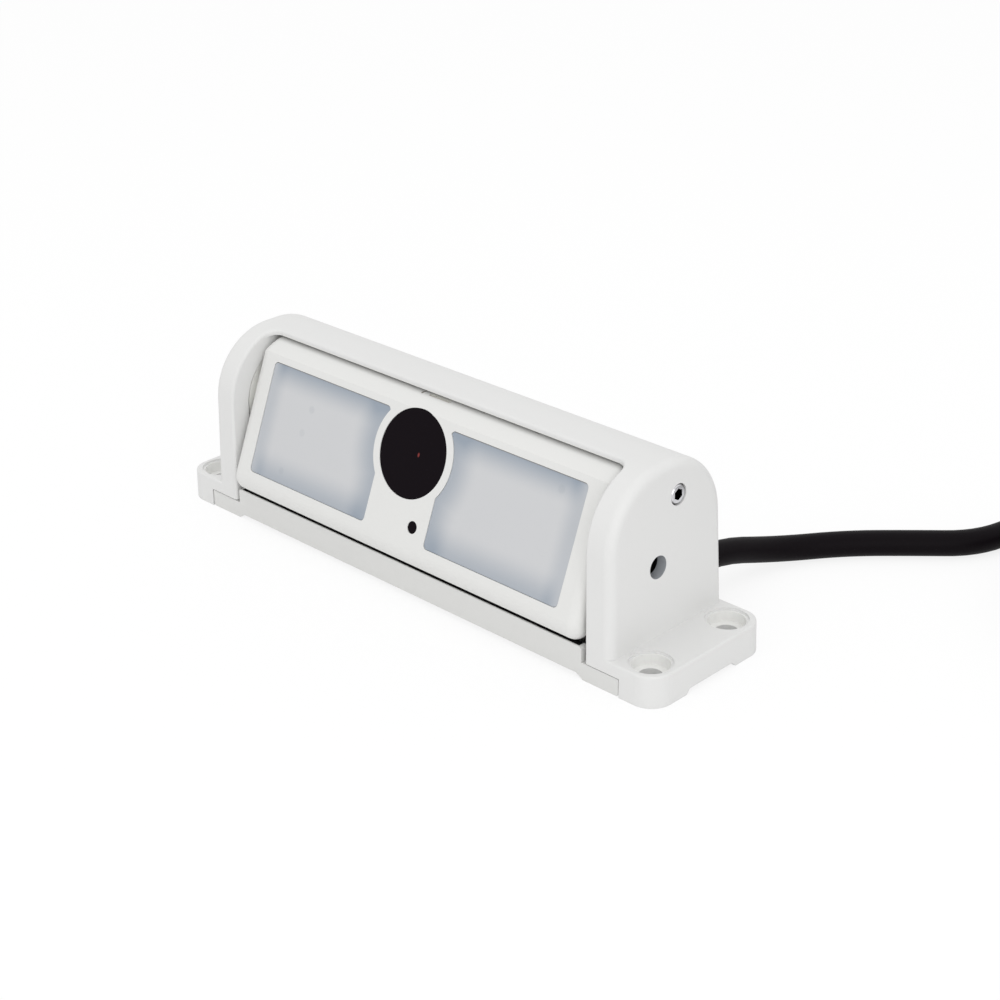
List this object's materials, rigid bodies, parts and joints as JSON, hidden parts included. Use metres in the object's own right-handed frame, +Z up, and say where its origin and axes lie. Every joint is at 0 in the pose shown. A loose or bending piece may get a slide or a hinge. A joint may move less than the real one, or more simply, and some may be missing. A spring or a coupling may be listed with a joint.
{
  "type": "passenger counting camera",
  "caption": "Long white sensor head with two frosted light windows round a dark lens, tilting inside an arched cast hood with four screw feet and a cable out of the back",
  "frame": {"origin": "centre of the four fixing holes on the mounting plane, which is the underside of the feet", "axes": "+X along the length, -Y towards the side that looks out, +Z up from the mounting plane"},
  "size_m": [0.2795, 0.1644, 0.0486],
  "materials": {
    "coated_casting": "satin powder coat on a die casting",
    "steel_screw": "zinc plated",
    "bright_screw": "polished steel",
    "cable_black": "smooth dark jacket with a slight sheen",
    "plug_black": "moulded, fine matte",
    "plug_metal": "nickel plated",
    "contact_gold": "gold plated",
    "head_white": "smooth off-white moulding",
    "head_metal": "coated to match the front",
    "seal_grey": "soft foam",
    "foam_black": "soft foam strip",
    "frosted_window": "frosted, lets light through",
    "inner_white": "white reflecting moulding",
    "board_white": "white solder mask",
    "emitter_yellow": "moulded lens over the emitter",
    "board_green": "green solder mask",
    "spacer_brass": "turned",
    "chip_black": "moulded package",
    "pad_grey": "soft heat pad",
    "socket_cream": "moulded",
    "sensor_dark": "glossy package",
    "camera_black": "fine matte black",
    "lens_glass": "coated glass",
    "dark_window": "polished dark filter plastic",
    "clear_plastic": "clear polished"
  },
  "bodies": {
    "mounting_body": {"hood": "coated_casting", "base_plate": "coated_casting", "front_strip": "foam_black", "base_screws": "steel_screw", "grub_screw_left": "bright_screw", "grub_screw_right": "bright_screw", "strain_relief": "cable_black", "cable": "cable_black", "cable_coil": "cable_black", "cable_tail": "cable_black", "plug_body": "plug_black", "plug_nut": "plug_metal", "plug_pins": "contact_gold"},
    "sensor_head": {"front_bezel": "head_white", "rear_shell": "head_metal", "housing_seal": "seal_grey", "left_diffuser": "frosted_window", "right_diffuser": "frosted_window", "left_light_box": "inner_white", "right_light_box": "inner_white", "left_led_board": "board_white", "right_led_board": "board_white", "emitters": "emitter_yellow", "main_board": "board_green", "board_spacers": "spacer_brass", "board_screws": "steel_screw", "shell_screws": "steel_screw", "processor": "chip_black", "thermal_pad": "pad_grey", "board_chips": "chip_black", "lead_socket": "socket_cream", "board_connector": "socket_cream", "camera_board": "board_green", "image_sensor": "sensor_dark", "lens_holder": "camera_black", "lens_barrel": "camera_black", "front_lens": "lens_glass", "lens_window": "dark_window", "light_sensor_window": "dark_window", "light_sensor": "sensor_dark", "light_pipe": "clear_plastic"}
  },
  "joints": [
    {"name": "head_tilt", "type": "hinge", "parent": "mounting_body", "child": "sensor_head", "pos_m": [0, 0, 0.03], "axis": [-1, 0, 0], "range_deg": [0, 20]}
  ]
}
